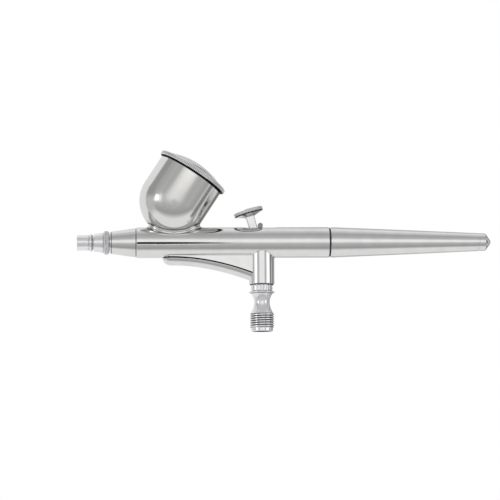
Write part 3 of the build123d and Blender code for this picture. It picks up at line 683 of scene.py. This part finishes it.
# painted shade in the gap under the lid and in the roots of the knurl
def lid_painted_shade(along, out, angle):
    under = (along > rim - 0.1) * (along < lid_low + 0.2 + 0.1 * np.cos(angle)) * (out > SKIRT_R - 0.3)
    roots = window(lid_low + 0.2, lid_high, 0.3, along) * (out > LID_R - 0.9) * teeth(angle, 132, 1.6)
    return np.maximum(under, 0.62 * roots)


lid = turned("cup_lid_shell", CUP, rows, 132 * 6, relief=lid_knurl, painted_shade=lid_painted_shade)
stand_for("cup_lid", lid, finish="pale_chrome")

# ---------------------------------------------------------------- finger button, knurled, dished and ridged
pad_low, _, PAD_R = extent("finger_button", STEM)
under = pad_low + 0.6
rows = soften([
    (pad_low, 0.0), (pad_low, 2.2, 0.2), (pad_low + 0.16, 2.5, 0.05), (under + 0.35, PAD_R - 0.9, 0.1),
    (under + 0.5, PAD_R - 0.62, 0.05), (under + 0.62, PAD_R - 0.3, 0.05), (under + 0.9, PAD_R, 0.12),
    (under + 2.0, PAD_R, 0.12), (under + 2.3, PAD_R - 0.35, 0.15), (under + 2.3, 0.0)], 0.1, closed=False)
rows = refine(rows, under + 0.85, under + 2.05, 0.12, beyond=PAD_R - 0.2, closed=False)
rows = refine(rows, under + 2.25, under + 2.35, 0.11, closed=False)


def pad_relief(along, out, angle):
    rear = out * np.cos(angle)
    side = out * np.sin(angle)
    on_top = smooth_step(under + 2.1, under + 2.25, along)
    dish_r = 14.0
    dish = 1.15 + dish_r - np.sqrt(dish_r ** 2 - (rear + 1.6) ** 2 - side ** 2)
    sunk = np.minimum(0.0, dish - 2.3)
    ridges = -0.09 * (0.5 + 0.5 * np.cos(TAU * out / 0.85)) * window(0.3, PAD_R - 0.7, 0.3, out)
    at_rim = window(under + 0.8, under + 2.2, 0.2, along) * (out > PAD_R - 0.4)
    rim_cut = -0.15 * at_rim * teeth(angle, 60, 0.7)
    return on_top * (sunk + ridges) + (1 - on_top) * rim_cut


# painted shade in the line under the rim, round the collar and in the knurl's roots
def pad_painted_shade(along, out, angle):
    line = window(under + 0.4, under + 0.95, 0.1, along) * (out > PAD_R - 0.75)
    collar = (along < pad_low + 0.3) * (out > 1.9)
    roots = window(under + 0.9, under + 2.2, 0.3, along) * (out > PAD_R - 0.4) * teeth(angle, 60, 1.5)
    return np.maximum(np.maximum(0.95 * line, 0.35 * collar), 0.55 * roots)


pad = turned("finger_button_shell", STEM, rows, 60 * 6, closed=False, relief=pad_relief, painted_shade=pad_painted_shade)
stand_for("finger_button", pad, finish="pale_chrome")

# ---------------------------------------------------------------- air valve: collar, neck and male thread
COLLAR_TOP = seal_box[2]
neck_z = np.array([7.4, 9.4, 12.6, 15.1])
neck_r = np.array([4.43, 3.5, 3.2, 4.3])
neck_curve = np.polyfit(neck_z, neck_r, 3)
neck = [(z, float(np.polyval(neck_curve, z))) for z in np.linspace(7.4, 15.1, 40)]
CREST = 4.86                    # radius over the thread's crests
PITCH = 0.907                   # of the 1/8 inch pipe thread
rows = soften(
    [(0.0, 3.58, 0.1), (0.0, 4.12, 0.12), (0.25, 4.36, 0.15), (1.25, 4.36, 0.1), (1.55, CREST, 0.1),
     (7.05, CREST, 0.1)] + neck
    + [(15.45, casing_box[4] - 0.05, 0.12), (15.6, casing_box[4], 0.08), (15.78, casing_box[4], 0.08),
       (16.08, 4.25, 0.1), (COLLAR_TOP, 4.25, 0.1), (COLLAR_TOP, 3.4), (casing_box[5], 3.4),
       (casing_box[5], 2.0), (24.9, 2.0), (24.9, 1.7), (20.6, 1.7), (20.6, 1.2), (19.6, 1.2), (19.6, 2.1),
       (6.1, 2.1), (6.1, 3.4), (0.2, 3.4, 0.1)], 0.06)
rows = refine(rows, 1.5, 7.2, 0.045, beyond=4.1)
rows = refine(rows, 16.1, COLLAR_TOP, 0.25, beyond=4.2)


def casing_relief(along, out, angle):
    phase = np.mod(along / PITCH - angle / TAU, 1.0)
    flank = np.clip((np.abs(2 * phase - 1) - 0.36) / 0.58, 0, 1)
    thread = -0.56 * flank * window(1.3, 7.35, 0.5, along) * (out > 4.2) * (along < 7.4)
    flutes = -0.07 * window(16.1, COLLAR_TOP, 0.3, along) * (out > 4.0) * teeth(angle, 24, 1.0)
    return thread + flutes


# painted shade on the thread's flanks, in the mouth, under the steps and in the flutes
def casing_painted_shade(along, out, angle):
    phase = np.mod(along / PITCH - angle / TAU, 1.0)
    flank = smooth_step(0.4, 0.95, np.abs(2 * phase - 1))
    thread = 0.85 * flank * window(1.0, 7.5, 0.4, along) * (out > 4.2)
    mouth = (along < 0.35) * (out < 3.7) * 0.9
    step = window(15.0, 15.5, 0.15, along) * 0.75
    under = window(15.75, 16.15, 0.1, along) * 0.6
    flutes = 0.22 * window(16.1, COLLAR_TOP, 0.3, along) * teeth(angle, 24, 2)
    outside = out > 3.0
    return np.maximum(np.maximum(thread, mouth), outside * np.maximum(np.maximum(step, under), flutes))


casing = turned("valve_casing_shell", VALVE, rows, 192, relief=casing_relief, painted_shade=casing_painted_shade)
stand_for("valve_casing", casing, finish="pale_chrome")

# ---------------------------------------------------------------- chuck nut under the handle
front, back = nut_box[0], nut_box[3]
NUT_R = nut_box[4]
rows = soften([
    (front, 1.92), (front, NUT_R - 0.3, 0.05), (front + 0.3, NUT_R, 0.05), (back - 2.5, NUT_R, 0.1),
    (back, 1.9, 0.15), (back, 0.67), (back - 2.7, 0.67), (back - 2.7, 1.4), (back - 5.0, 1.92)], 0.05)
rows = refine(rows, front + 0.3, back - 2.5, 0.09, beyond=NUT_R - 0.1)


def nut_knurl(along, out, angle):
    hatch = np.abs(np.sin(angle * 16 + along * 5.2)) * np.abs(np.sin(angle * 16 - along * 5.2))
    return -0.16 * window(front + 0.35, back - 2.6, 0.25, along) * (out > NUT_R - 0.05) * (1 - hatch)


nut = turned("chuck_nut_shell", BARREL, rows, 256, relief=nut_knurl)
stand_for("chuck_nut", nut, "steel")


# ---------------------------------------------------------------- gun body: the CAD shape with exact shading
def polished_copy(node, name):
    """The CAD mesh, welded, with each corner's normal taken from the surface that it lies on."""
    mesh = frame["nodes"][node].data.copy()
    mesh.name = name
    bm = bmesh.new()
    bm.from_mesh(mesh)
    bmesh.ops.remove_doubles(bm, verts=bm.verts, dist=2e-7)
    bmesh.ops.dissolve_degenerate(bm, dist=1e-8, edges=bm.edges)
    bm.to_mesh(mesh)
    bm.free()
    p = np.array([v.co for v in mesh.vertices]) / MM
    height = p[:, 2] - BARREL_Z
    around = np.hypot(p[:, 1], height)
    boss_r = np.hypot(p[:, 0], p[:, 1])
    start = WEB[0]
    nose = p - np.array([start[0], 0, BARREL_Z + start[1]])
    nose_flat = np.hypot(nose[:, 0], nose[:, 1])
    nose_all = np.linalg.norm(nose, axis=1)
    zero = np.zeros(len(p))
    path = web_line(np.linspace(0, 1, 1200)[:, None])
    points = np.stack([p[:, 0], height], axis=1)
    near = np.array([np.argmin(((path - point) ** 2).sum(axis=1)) for point in points])
    from_path = np.stack([p[:, 0] - path[near, 0], p[:, 1], height - path[near, 1]], 1)
    path_r = np.linalg.norm(from_path, axis=1)

    def unit(v, size):
        return v / np.maximum(size, 1e-9)[:, None]

    half = WEB_HALF
    kinds = [
        (np.abs(around - BARREL_R) < 0.006, unit(np.stack([zero, p[:, 1], height], 1), around)),
        (np.abs(boss_r - BOSS_R) < 0.006, unit(np.stack([p[:, 0], p[:, 1], zero], 1), boss_r)),
        (np.abs(np.abs(p[:, 1]) - half) < 0.003, np.stack([zero, np.sign(p[:, 1]), zero], 1)),
        ((np.abs(nose_flat - half) < 0.006) & (nose[:, 0] < 0.01),
         unit(np.stack([nose[:, 0], nose[:, 1], zero], 1), nose_flat)),
        ((np.abs(nose_all - half) < 0.01) & (nose[:, 0] < 0.01), unit(nose, nose_all)),
        (np.abs(path_r - half) < 0.03, unit(from_path, path_r)),
    ]
    faces = [tuple(f.vertices) for f in mesh.polygons]
    face_normal = np.array([f.normal for f in mesh.polygons])
    kind_of = np.full(len(faces), -1)
    for k, (on, n) in enumerate(kinds):
        for f, vs in enumerate(faces):
            if kind_of[f] < 0 and all(on[v] for v in vs):
                if min(face_normal[f].dot(n[v]) for v in vs) > 0.94:
                    kind_of[f] = k
    touching = [[] for _ in p]
    for f, vs in enumerate(faces):
        for v in vs:
            touching[v].append(f)
    corners = []
    for f, vs in enumerate(faces):
        for v in vs:
            if kind_of[f] >= 0:
                corners.append(tuple(kinds[kind_of[f]][1][v]))
                continue
            known = [kinds[kind_of[o]][1][v] for o in touching[v] if kind_of[o] >= 0]
            known = [n for n in known if n.dot(face_normal[f]) > 0.88]
            if known:
                total = sum(known)
            else:
                total = sum(face_normal[o] for o in touching[v]
                            if face_normal[o].dot(face_normal[f]) > 0.82)
            corners.append(tuple(total / np.linalg.norm(total)))
    mesh.polygons.foreach_set("use_smooth", [True] * len(mesh.polygons))
    mesh.normals_split_custom_set(corners)
    mesh.update()
    return mesh


stand_for("gun_body", polished_copy("gun_body", "gun_body_shell"))


# ---------------------------------------------------------------- braze fillet where the cup meets the barrel
def braze_fillet(ball_r, steps=10, count=240):
    """The hollow left by a ball rolled round the joint of the cup and the barrel, closed on the inside."""
    far_cup, far_barrel = CUP_R + ball_r, BARREL_R + ball_r
    up = CUP_CENTRE[2] - BARREL_Z
    most = math.acos((far_barrel ** 2 + up ** 2 - far_cup ** 2) / (2 * far_barrel * up))
    verts, normals, rings = [], [], []
    for i in range(count):
        turn = TAU * i / count
        psi = most * math.sin(turn)
        reach = max(0.0, far_cup ** 2 - far_barrel ** 2 - up ** 2 + 2 * far_barrel * math.cos(psi) * up)
        x = CUP_CENTRE[0] + math.copysign(math.sqrt(reach), math.cos(turn))
        ball = np.array([x, far_barrel * math.sin(psi), BARREL_Z + far_barrel * math.cos(psi)])
        on_cup = CUP_CENTRE + (ball - CUP_CENTRE) * CUP_R / far_cup
        axis_point = np.array([x, 0, BARREL_Z])
        on_barrel = axis_point + (ball - axis_point) * BARREL_R / far_barrel
        a, b = (on_cup - ball) / ball_r, (on_barrel - ball) / ball_r
        angle = math.acos(max(-1.0, min(1.0, float(a.dot(b)))))
        ring = []
        for k in range(steps + 1):
            f = k / steps
            d = (a * math.sin((1 - f) * angle) + b * math.sin(f * angle)) / math.sin(angle)
            ring.append(len(verts))
            verts.append((ball + d * ball_r) * MM)
            normals.append(-d)
        inner = (a + b) / np.linalg.norm(a + b)
        ring.append(len(verts))
        verts.append((ball + inner * ball_r * 1.6) * MM)
        normals.append(inner)
        rings.append(ring)
    faces = []
    for i in range(count):
        r, q = rings[i], rings[(i + 1) % count]
        for k in range(len(r)):
            m = (k + 1) % len(r)
            faces.append((r[k], r[m], q[m], q[k]))
    mesh = facing_out("cup_braze", verts, faces)
    shade(mesh, normals)
    return mesh


braze = place("cup_braze", braze_fillet(1.0), "gun", "chrome")
finish_of(braze, "chrome")


# ---------------------------------------------------------------- finger rest's rail, proud of its web, with a painted dark reflection along its edge
def finger_rail(proud=0.12, count=110, last=0.93):
    """A quarter round swept down one side of the web, round its nose and back up the other side. Its top edge
    carries a painted reflection, dark down to an angle that shrinks from the nose to the boss."""
    r = WEB_HALF + proud
    inner_r = r - 0.32
    t = np.linspace(0, last, count)[:, None]
    path, slope = web_line(t), web_slope(t)
    centres = np.stack([path[:, 0], 0 * path[:, 0], BARREL_Z + path[:, 1]], 1)
    downs = np.stack([slope[:, 1], 0 * path[:, 0], -slope[:, 0]], 1)
    dark_to = np.linspace(10.0, 7.5, count)
    stations = [(centres[k], (0, -1, 0), downs[k], dark_to[k]) for k in range(count - 1, -1, -1)]
    for turn in np.linspace(-math.pi / 2, math.pi / 2, 31)[1:-1]:
        stations.append((centres[0], (-math.cos(turn), math.sin(turn), 0), downs[0], dark_to[0]))
    stations += [(centres[k], (0, 1, 0), downs[k], dark_to[k]) for k in range(count)]
    sweep = np.array([0, 1.5, 3, 4.5, 6, 7.5, 9.5, 12, 15, 20, 26, 33, 40, 48, 56, 64, 72, 80, 85, 90])
    verts, normals, dark, seen, rows = [], [], [], {}, []
    for centre, out, down, edge in stations:
        out, down = np.array(out, float), np.array(down, float)
        points = [(centre + out * inner_r, -down, 1.0)]
        for a in sweep:
            n = out * math.cos(math.radians(a)) + down * math.sin(math.radians(a))
            points.append((centre + n * r, n, 1.0 if a <= edge else 0.0))
        row = []
        for point, n, value in points:
            key = tuple(np.round(point, 5) + 0.0)
            if key not in seen:
                seen[key] = len(verts)
                verts.append(point * MM)
                normals.append(n)
                dark.append(value)
            row.append(seen[key])
        rows.append(row)
    faces = []
    for one, two in zip(rows, rows[1:]):
        for j in range(len(one) - 1):
            face = [one[j], one[j + 1], two[j + 1], two[j]]
            face = [v for k, v in enumerate(face) if v != face[k - 1]]
            if len(set(face)) > 2:
                faces.append(face)
    for k in range(count - 1):
        faces.append([rows[k][0], rows[k + 1][0], rows[-k - 2][0], rows[-k - 1][0]])
    faces.append([row[0] for row in rows[count - 1:len(rows) - count + 1]])
    faces.append(rows[0] + rows[-1][-2::-1])
    mesh = facing_out("finger_rail", verts, faces)
    paint_shade(mesh, dark)
    shade(mesh, normals)
    return mesh


rail = place("finger_rail", finger_rail(), "gun", "chrome")
finish_of(rail, "chrome")


# ---------------------------------------------------------------- springs
def coil_mesh(name, along, low, high, centre, coil_r, wire_r, turns, around=16, per_turn=36):
    """A compression spring along axis 0 or 2, whose first and last turns lie closed, a wire's width apart."""
    steps = turns * per_turn + 1
    turn = np.linspace(0, turns, steps)
    dead = 0.9
    wire = 2 * wire_r
    inner = (high - low - 3 * wire) * np.clip((turn - dead) / (turns - 2 * dead), 0, 1)
    climb = wire * (np.clip(turn / dead, 0, 1) + np.clip((turn - turns + dead) / dead, 0, 1))
    path = np.zeros((steps, 3))
    others = [k for k in range(3) if k != along]
    path[:, along] = low + wire_r + inner + climb
    path[:, others[0]] = centre[0] + coil_r * np.cos(TAU * turn)
    path[:, others[1]] = centre[1] + coil_r * np.sin(TAU * turn)
    tangent = np.gradient(path, axis=0)
    tangent /= np.linalg.norm(tangent, axis=1, keepdims=True)
    outward = path.copy()
    outward[:, along] = 0
    outward[:, others[0]] -= centre[0]
    outward[:, others[1]] -= centre[1]
    outward /= np.linalg.norm(outward, axis=1, keepdims=True)
    binormal = np.cross(tangent, outward)
    angle = np.linspace(0, TAU, around, endpoint=False)[None, :, None]
    ring = outward[:, None] * np.cos(angle) + binormal[:, None] * np.sin(angle)
    points = (path[:, None] + wire_r * ring).reshape(-1, 3)
    faces = [(i * around + j, i * around + (j + 1) % around,
              (i + 1) * around + (j + 1) % around, (i + 1) * around + j)
             for i in range(steps - 1) for j in range(around)]
    faces += [tuple(range(around)), tuple(range((steps - 1) * around, steps * around))[::-1]]
    mesh = facing_out(name, points * MM, faces)
    mesh.polygons.foreach_set("use_smooth", [len(face) == 4 for face in faces])
    mesh.update()
    return mesh


# node, its axis, wire radius, turns, joint, and the end that stays still
for node, along, wire_r, turns, joint, still in (
        ("valve_spring", 2, 0.2, 7, "trigger_press", 0),
        ("needle_spring", 0, 0.3, 12, "needle_draw", 1)):
    ends = np.array(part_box(node)) / MM
    across_axis = [k for k in range(3) if k != along]
    centre = ends.mean(axis=0)[across_axis]
    coil_r = float(np.ptp(ends, axis=0)[across_axis].min() / 2 - wire_r)
    mesh = coil_mesh(node + "_coil", along, ends[0][along], ends[1][along], centre, coil_r, wire_r, turns)
    spring = place(node + "_coil", mesh, body_of(node), "steel", node)
    finish_of(spring, "steel")
    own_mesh(spring)

# softened edges on the flat pieces that show
for node in ("trigger", "back_lever", "spring_case", "packing_screw"):
    edge = frame["nodes"][node].modifiers.new("edge", "BEVEL")
    edge.width = 0.12 * MM
    edge.segments = 3
    edge.limit_method = "ANGLE"
    edge.angle_limit = math.radians(50)
    edge.harden_normals = True

# ---------------------------------------------------------------- studio
floor_mesh = bpy.data.meshes.new("floor")
FLOOR_HALF = 3.0                # metres
FLOOR_Z = -0.3
corners = [(x * FLOOR_HALF, y * FLOOR_HALF, FLOOR_Z) for x, y in ((-1, -1), (1, -1), (1, 1), (-1, 1))]
floor_mesh.from_pydata(corners, [], [(0, 1, 2, 3)])
floor = bpy.data.objects.new("floor", floor_mesh)
bpy.context.scene.collection.objects.link(floor)
floor.data.materials.append(
    surface("floor_paint", (0.93, 0.93, 0.93), 0.0, 0.75, 0.1, 60, 0.05, Specular_IOR_Level=0.1,
            Emission_Color=(1, 1, 1, 1), Emission_Strength=0.2))
floor.visible_glossy = False
floor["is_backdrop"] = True

EYE = Vector((-49.8, -924.0, -60.0)) * MM
AIM = Vector((-4.6, 0.0, 32.6)) * MM
camera = bpy.data.objects.new("camera", bpy.data.cameras.new("camera"))
bpy.context.scene.collection.objects.link(camera)
camera.location = EYE
camera.rotation_mode = "QUATERNION"
roll = Quaternion((0, 0, 1), math.radians(-0.4))
camera.rotation_quaternion = (AIM - EYE).to_track_quat("-Z", "Y") @ roll
camera.data.lens = 167.4
camera.data.sensor_width = 36
camera.data.clip_start = 0.01
camera.data.clip_end = 20
bpy.context.scene.camera = camera

# the dark opening in front of the camera, the grey about it and a white card below, seen only in
# reflections: half width, half height, how far in front of EYE and below it, all in metres, and tone
SCREENS = {
    "opening": (0.040, 0.120, 0.01, 0.035, 0.012),
    "opening_edge": (0.062, 0.122, 0.0, 0.035, 0.2),
    "card": (0.058, 0.050, 0.02, 0.2, 0.97),
}
SCREEN_SHIFT = 0.012
for name, (half_width, half_height, nearer, drop, tone) in SCREENS.items():
    mesh = bpy.data.meshes.new(name)
    bm = bmesh.new()
    bmesh.ops.create_circle(bm, cap_ends=True, segments=48, radius=1.0)
    for v in bm.verts:
        v.co = Vector((v.co.x * half_width, v.co.y * half_height, 0))
    bm.to_mesh(mesh)
    bm.free()
    screen = bpy.data.objects.new(name, mesh)
    bpy.context.scene.collection.objects.link(screen)
    screen.location = EYE + Vector((SCREEN_SHIFT, nearer, -drop))
    screen.rotation_mode = "QUATERNION"
    screen.rotation_quaternion = camera.rotation_quaternion
    screen.visible_camera = False
    screen.visible_diffuse = False
    screen.visible_shadow = False
    paint = surface(name + "_paint", (tone, tone, tone), 0.0, 0.9, 0.1, 60, 0.0, Specular_IOR_Level=0.0)
    screen.data.materials.append(paint)
    screen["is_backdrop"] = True

lamp_data = bpy.data.lights.new("overhead", "AREA")
lamp_data.shape = "DISK"
lamp_data.size = 1.2
lamp_data.energy = 6
lamp = bpy.data.objects.new("overhead", lamp_data)
bpy.context.scene.collection.objects.link(lamp)
lamp.location = (0.1, -0.3, 1.4)
lamp.rotation_euler = (math.radians(-12), math.radians(4), 0)
lamp.visible_glossy = False
lamp.visible_camera = False

# a pale tent, seen in reflections and lighting the gun. Camera rays see plain white
world = bpy.data.worlds.new("tent")
bpy.context.scene.world = world
g = Graph(node_tree(world))
direction = g.add("ShaderNodeTexCoord").outputs["Generated"]
axes = g.add("ShaderNodeSeparateXYZ")
g.join(direction, axes.inputs[0])
dx, dy, dz = axes.outputs
towards = g.math("MULTIPLY", dy, -1.0)
DEGREE = 180 / math.pi
pitch = g.math("MULTIPLY_ADD", g.math("ARCTAN2", dz, towards), 1 / TAU, 0.5)
azimuth = g.math("MULTIPLY", g.math("ARCTAN2", dx, towards), DEGREE)
elevation = g.math("MULTIPLY", g.math("ARCSINE", dz), DEGREE)


def band(value, low, high, low_edge, high_edge):
    """1 between low and high, in degrees, with edges that fade outward."""
    rise = g.add("ShaderNodeMapRange", interpolation_type="SMOOTHSTEP")
    g.join(value, rise.inputs["Value"])
    rise.inputs["From Min"].default_value = low - low_edge
    rise.inputs["From Max"].default_value = low
    fall = g.add("ShaderNodeMapRange", interpolation_type="SMOOTHSTEP")
    g.join(value, fall.inputs["Value"])
    fall.inputs["From Min"].default_value = high
    fall.inputs["From Max"].default_value = high + high_edge
    fall.inputs["To Min"].default_value = 1.0
    fall.inputs["To Max"].default_value = 0.0
    return g.math("MULTIPLY", rise.outputs[0], fall.outputs[0])


def mix(a, b, share):
    """a, moved towards b by share."""
    return g.math("MULTIPLY_ADD", g.math("SUBTRACT", b, a), share, a)


# the tent's tone by pitch, in degrees up from the side that the camera is on: a pale floor and back, a dark
# table edge, and a grey front with a bright strip at eye level
TENT = [(-180, 0.8), (-70, 0.8), (-50, 0.35), (-15, 0.5), (0, 0.9), (12, 0.95), (30, 0.5), (60, 0.4),
        (100, 0.8), (180, 0.8)]
level = g.ramp(pitch, [((angle + 180) / 360, tone) for angle, tone in TENT])
left_grey = g.math("MULTIPLY", band(azimuth, -108, -78, 1.5, 14), band(elevation, -18, 70, 20, 15))
left_tone = g.math("MULTIPLY_ADD", band(elevation, 20, 90, 16, 1), -0.19, 0.52)
level = mix(level, left_tone, left_grey)
side = g.math("ABSOLUTE", azimuth)
strips = g.math("MULTIPLY", band(side, 26, 40, 5, 4), band(elevation, -25, 28, 8, 8))
level = mix(level, 0.42, g.math("MULTIPLY", strips, 0.8))
right_grey = g.math("MULTIPLY", band(azimuth, 84, 172, 4, 10), band(elevation, -40, 50, 8, 12))
level = mix(level, 0.50, g.math("MULTIPLY", right_grey, 0.9))
for low, high, tone in ((80, 92, 0.17), (112, 122, 0.10), (140, 158, 0.12)):
    right_dark = g.math("MULTIPLY", band(azimuth, low, high, 3, 4), band(elevation, -40, 35, 8, 12))
    level = mix(level, tone, g.math("MULTIPLY", right_dark, 0.85))
left_box = g.math("MULTIPLY", band(azimuth, -62, -57, 5, 5), band(elevation, 3, 11, 5, 5))
level = g.math("MULTIPLY_ADD", left_box, 2.2, level)
right_box = g.math("MULTIPLY", band(azimuth, 46, 70, 5, 5), band(elevation, -6, 12, 4, 4))
level = g.math("MULTIPLY_ADD", right_box, 0.3, level)
tent = g.add("ShaderNodeBackground")
g.join(level, tent.inputs["Color"])
backdrop = g.add("ShaderNodeBackground")
backdrop.inputs["Color"].default_value = (1, 1, 1, 1)
ray = g.add("ShaderNodeLightPath")
choose = g.add("ShaderNodeMixShader")
g.join(ray.outputs["Is Camera Ray"], choose.inputs[0])
g.join(tent.outputs[0], choose.inputs[1])
g.join(backdrop.outputs[0], choose.inputs[2])
end = g.add("ShaderNodeOutputWorld")
g.join(choose.outputs[0], end.inputs["Surface"])

bpy.context.scene.view_settings.view_transform = "Standard"
bpy.context.scene.view_settings.look = "None"

low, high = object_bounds()
